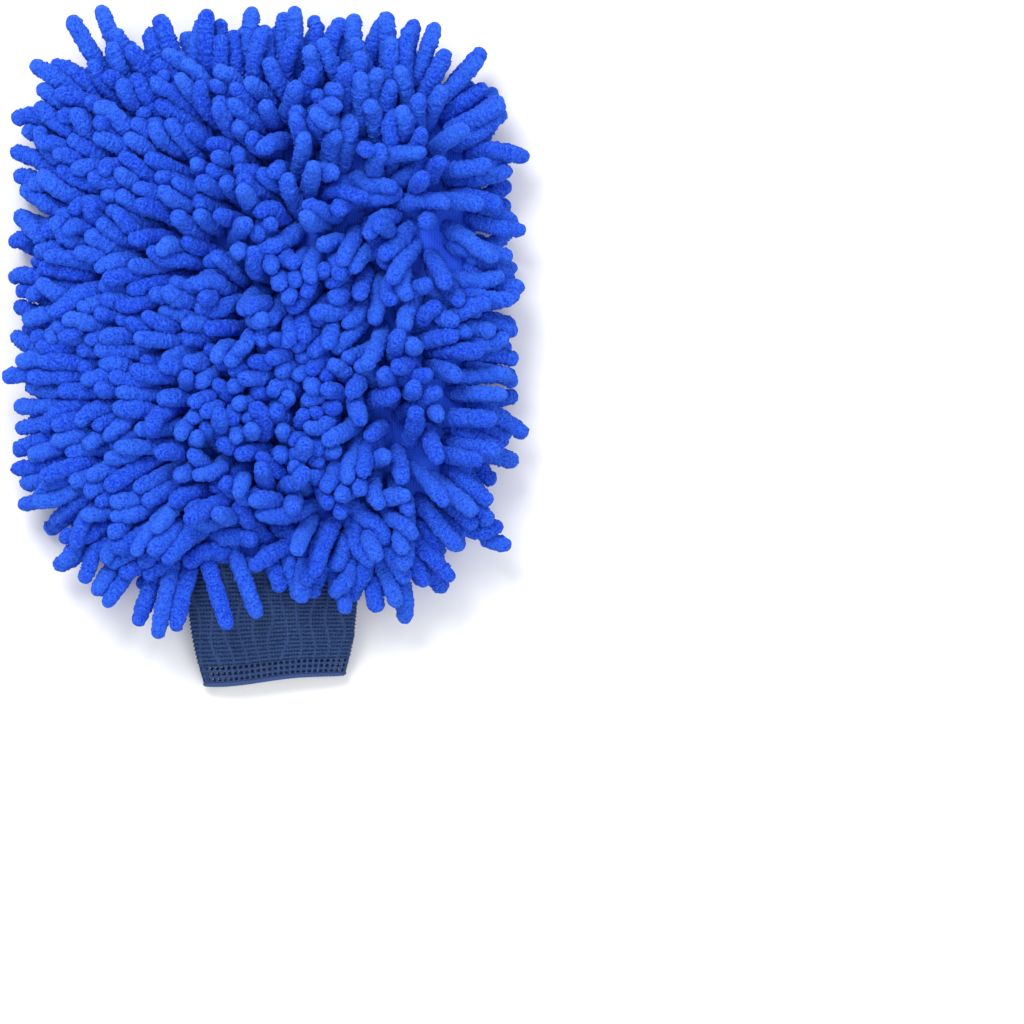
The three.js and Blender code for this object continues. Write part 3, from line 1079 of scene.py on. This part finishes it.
# a closed sheet under (or over) the outer face's height, over the pouch's outline
def clothLayer(name, height, side, offset, thickness, inset, material):
    s = np.sin(np.linspace(-1, 1, clothing["columns"]) * math.pi / 2)
    t = np.linspace(0, 1, clothing["rows"])
    y = pouch["mouthY"] + inset + (pouch["toeY"] - pouch["mouthY"] - 2 * inset) * t
    x = s[None, :] * (pouchHalfWidth(y)[:, None] - inset)
    y = np.broadcast_to(y[:, None], x.shape)
    face = height(x, y) - side * offset
    outer = np.stack([x, y, face], -1)
    inner = np.stack([x, y, face - side * thickness], -1)
    if side < 0:
        outer, inner = inner, outer
    kept = np.ones((clothing["rows"] - 1, clothing["columns"] - 1), bool)
    piece = shellPiece(name, outer, inner, kept, False, material, np.stack([x, y], -1))
    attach(piece, "pouch")
    return piece


# the pouch's outline from one end of the mouth round the toe to the other, in even steps
def pouchOutline(step):
    share = (1 - np.cos(np.linspace(0, math.pi, 400))) / 2
    y = pouch["mouthY"] + (pouch["toeY"] - pouch["mouthY"]) * share
    right = np.stack([pouchHalfWidth(y), y], 1)
    left = right[::-1] * (-1, 1)
    path = np.concatenate([right, left])
    along = np.concatenate([[0], np.cumsum(np.linalg.norm(np.diff(path, axis=0), axis=1))])
    even = np.arange(0, along[-1], step)
    return np.stack([np.interp(even, along, path[:, 0]), np.interp(even, along, path[:, 1])], 1), even


# the allowances of both cloths rolled in and overlocked: a flat tube inside the outline,
# its thread wraps at seamWrapPitch
def addSideSeam():
    path, along = pouchOutline(clothing["seamStep"])
    tangent = unit(np.gradient(path, axis=0))
    inward = np.stack([-tangent[:, 1], tangent[:, 0]], 1)
    angle = evenTurns(clothing["seamSides"])
    wraps = 2 * math.pi * along / clothing["seamWrapPitch"]
    wrap = 1 + clothing["seamWrapDepth"] * np.cos(wraps)
    across = clothing["seamHalfWidth"] * (1 + np.cos(angle))
    flat = path[:, None] + inward[:, None] * across[None, :, None]
    height = pouch["seamZ"] + clothing["seamHalfThickness"] * wrap[:, None] * np.sin(angle)
    points = np.concatenate([flat, height[..., None]], 2)
    uv = np.stack(np.broadcast_arrays(angle[None, :] / (2 * math.pi), along[:, None]), -1)
    piece = tubePiece("side_seam_overlock", points, False, seamThread, uv)
    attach(piece, "pouch")
    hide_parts("side_seam")


# angles at the given shares of the way round an oval, and the length of the way round
def ovalAngles(shares, halfWidth, halfHeight):
    angle = np.linspace(0, 2 * math.pi, 2000)
    step = np.hypot(np.diff(np.cos(angle)) * halfWidth, np.diff(np.sin(angle)) * halfHeight)
    along = np.concatenate([[0], np.cumsum(step)])
    return np.interp(shares * along[-1], along, angle), float(along[-1])


# how far the courses rise at the given cosine and sine round the cuff: they slant and wave
# across it, more so towards the hem
def courseRise(across, up, y):
    wave = 1 + np.sin(cuff["waveTurns"] * across + cuff["wavePhase"])
    rise = cuff["slant"] * (1 + across) / 2 + cuff["wave"] * wave + cuff["underLag"] * (1 - up) / 2
    return downCuff(y) ** 1.5 * rise


# points of the cuff at the given angles and ys, moved outward from its middle surface
def cuffPoints(angle, y, outward):
    middleX, middleZ, halfWidth, halfHeight = cuffSection(y)
    across, up = np.cos(angle), np.sin(angle)
    normal = unit(np.stack([across * halfHeight, up * halfWidth], -1))
    x = middleX + halfWidth * across + outward * normal[..., 0]
    z = middleZ + halfHeight * up + outward * normal[..., 1]
    return np.stack([x, y + courseRise(across, up, y), z], -1)


def addMouthSeam():
    shares = np.arange(clothing["mouthSeamRings"]) / clothing["mouthSeamRings"]
    angle, around = ovalAngles(shares, cuff["topHalfWidth"], cuff["topHalfHeight"])
    turn = evenTurns(clothing["seamSides"])
    wraps = round(around / clothing["seamWrapPitch"])
    wrap = 1 + clothing["seamWrapDepth"] * np.cos(wraps * shares * 2 * math.pi)
    radius = clothing["mouthSeamRadius"] * wrap[:, None]
    y = pouch["mouthY"] - clothing["mouthSeamDrop"] + radius * np.cos(turn)
    points = cuffPoints(angle[:, None], y, clothing["mouthSeamLift"] + radius * np.sin(turn))
    uv = np.stack(np.broadcast_arrays(turn[None, :], angle[:, None]), -1)
    piece = tubePiece("mouth_seam_binding", points, True, seamThread, uv)
    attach(piece, "pouch")
    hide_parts("mouth_seam")


faces = (("front", frontClothHeight, 1), ("back", backClothHeight, -1))
for face, height, side in faces:
    cloth = clothLayer(
        f"{face}_cloth", height, side, offset=0,
        thickness=clothing["clothThickness"], inset=0, material=groundCloth,
    )
    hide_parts(f"{face}_ground_cloth")
for face, height, side in faces:
    lining = clothLayer(
        f"{face}_lining_cloth", height, side, offset=clothing["liningOffset"],
        thickness=clothing["liningThickness"], inset=clothing["liningInset"], material=liningCloth,
    )
    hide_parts(f"{face}_lining")
addSideSeam()
addMouthSeam()
print("pouch ready")


# the cuff's knitted tube, open band, rolled edge and end seam
knit = {
    "coursePitch": 0.0020,
    "cordPitch": 0.0068,
    "wander": 0.034,
    "bend": 0.22,
    "relief": 0.0006,
    "bandRidge": 0.8,
    "columns": 290,
    "rows": 160,
    "bandCells": 52,
    "bandRows": 3,
    "barShare": 0.40,
    "bandThickness": 0.0012,
    "edgeRings": 420,
    "edgeSides": 12,
    "edgeRadius": 0.00095,
    "wrapPitch": 0.0015,
    "wrapDepth": 0.09,
    "endSeamRings": 90,
    "endSeamSides": 10,
    "endSeamHalfWidth": 0.0007,
    "endSeamHalfHeight": 0.0016,
    "endSeamInset": 0.0014,  # its middle stands this far inside the fold's wall
    "endSeamWrapDepth": 0.12,
    "endSeamGap": 0.001,  # it stops this far short of the fold at the mouth
}


# relief of the knit: round courses every coursePitch, joined by cords every cordPitch that
# wander as bend * sin(2 pi y / wander)
def knitRelief(around, y):
    course = 0.5 + 0.5 * np.cos(2 * math.pi * y / knit["coursePitch"])
    bend = knit["bend"] * np.sin(2 * math.pi * y / knit["wander"] + 3 * np.sin(around / 0.012))
    cord = 0.5 + 0.5 * np.cos(2 * math.pi * (around / knit["cordPitch"] + bend))
    return np.maximum(course ** 1.3, cord ** 14)


def addKnitTube():
    shares = np.arange(knit["columns"]) / knit["columns"]
    angle, perimeter = ovalAngles(shares, cuff["topHalfWidth"], cuff["topHalfHeight"])
    around = shares * perimeter
    y = np.linspace(cuff["bandY"], cuff["topY"], knit["rows"])
    angles, ys = np.meshgrid(angle, y)
    relief = knitRelief(around[None, :], y[:, None])
    outer = cuffPoints(angles, ys, cuff["wall"] / 2 + knit["relief"] * (relief - 0.5))
    inner = cuffPoints(angles, ys, -cuff["wall"] / 2)
    uv = np.stack(np.broadcast_arrays(around[None, :], y[:, None]), -1)
    kept = np.ones((knit["rows"] - 1, knit["columns"]), bool)
    # ridge also sets how much painted shade the knit's gaps take
    piece = shellPiece("cuff_knit", outer, inner, kept, True, cuffKnit, uv, {"ridge": relief})
    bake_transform(piece)
    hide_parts("cuff_knit_tube")
    return piece, perimeter


# the open band: cells of bars and a square hole each, rounded by a subdivision; it starts a
# quarter of a cell round, so that the bars of one layer lie behind the holes of the other
def addMeshBand():
    cells = knit["bandCells"]
    bar = knit["barShare"] / 2
    stops = np.array([0, bar, 0.5, 1 - bar])
    share = (0.25 + np.arange(cells)[:, None] + stops).reshape(-1) / cells
    angle, perimeter = ovalAngles(share % 1, cuff["hemHalfWidth"], cuff["hemHalfHeight"])
    rowShare = np.append((np.arange(knit["bandRows"])[:, None] + stops).reshape(-1), knit["bandRows"])
    y = cuff["edgeY"] + (cuff["bandY"] - cuff["edgeY"]) * rowShare / knit["bandRows"]
    angles, ys = np.meshgrid(angle, y)
    inHoleX = np.tile([False, True, True, False], cells)
    inHoleY = np.tile([False, True, True, False], knit["bandRows"])
    kept = ~(inHoleY[:, None] & inHoleX[None, :])
    half = knit["bandThickness"] / 2
    uv = np.stack(np.broadcast_arrays(share[None, :] * perimeter, y[:, None]), -1)
    piece = shellPiece(
        "cuff_open_band", cuffPoints(angles, ys, half), cuffPoints(angles, ys, -half), kept, True,
        cuffKnit, uv, {"ridge": np.full(angles.shape, knit["bandRidge"])},
    )
    rounding = piece.modifiers.new("rounding", "SUBSURF")
    rounding.levels = 1
    rounding.render_levels = 1
    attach(piece, "cuff")
    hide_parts("cuff_mesh_band")
    return piece


# the hem rolled on itself, with oblique thread wraps
def addHemEdge():
    shares = np.arange(knit["edgeRings"]) / knit["edgeRings"]
    angle, perimeter = ovalAngles(shares, cuff["hemHalfWidth"], cuff["hemHalfHeight"])
    turn = evenTurns(knit["edgeSides"])
    wraps = round(perimeter / knit["wrapPitch"]) * shares[:, None] * 2 * math.pi
    radius = knit["edgeRadius"] * (1 + knit["wrapDepth"] * np.cos(wraps + turn))
    y = cuff["hemY"] + knit["edgeRadius"] * (1 + knit["wrapDepth"]) + 1.1 * radius * np.cos(turn)
    points = cuffPoints(angle[:, None], y, 0.85 * radius * np.sin(turn))
    uv = np.stack(np.broadcast_arrays(turn[None, :], angle[:, None]), -1)
    piece = tubePiece("cuff_rolled_edge", points, True, cuffEdge, uv)
    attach(piece, "cuff")
    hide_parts("cuff_hem_edge")
    return piece


# the seam that closes the cuff strip into a tube: a flat tube inside the -X fold
def addCuffSeam():
    y = np.linspace(cuff["edgeY"], cuff["hingeY"] - knit["endSeamGap"], knit["endSeamRings"])
    turn = evenTurns(knit["endSeamSides"])
    middleX, middleZ, halfWidth, halfHeight = cuffSection(y)
    wrap = 1 + knit["endSeamWrapDepth"] * np.cos(2 * math.pi * y / clothing["seamWrapPitch"])
    foldX = middleX - halfWidth + cuff["wall"] + knit["endSeamInset"]
    x = foldX[:, None] + knit["endSeamHalfWidth"] * wrap[:, None] * np.cos(turn)
    z = middleZ[:, None] + knit["endSeamHalfHeight"] * wrap[:, None] * np.sin(turn)
    points = np.stack(np.broadcast_arrays(x, (y + courseRise(-1, 0, y))[:, None], z), -1)
    uv = np.stack(np.broadcast_arrays(turn[None, :], y[:, None]), -1)
    piece = tubePiece("cuff_end_seam", points, False, cuffEdge, uv)
    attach(piece, "cuff")
    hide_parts("cuff_side_seam")
    return piece


knitTube, knitPerimeter = addKnitTube()
addMeshBand()
addHemEdge()
addCuffSeam()
print("cuff ready")
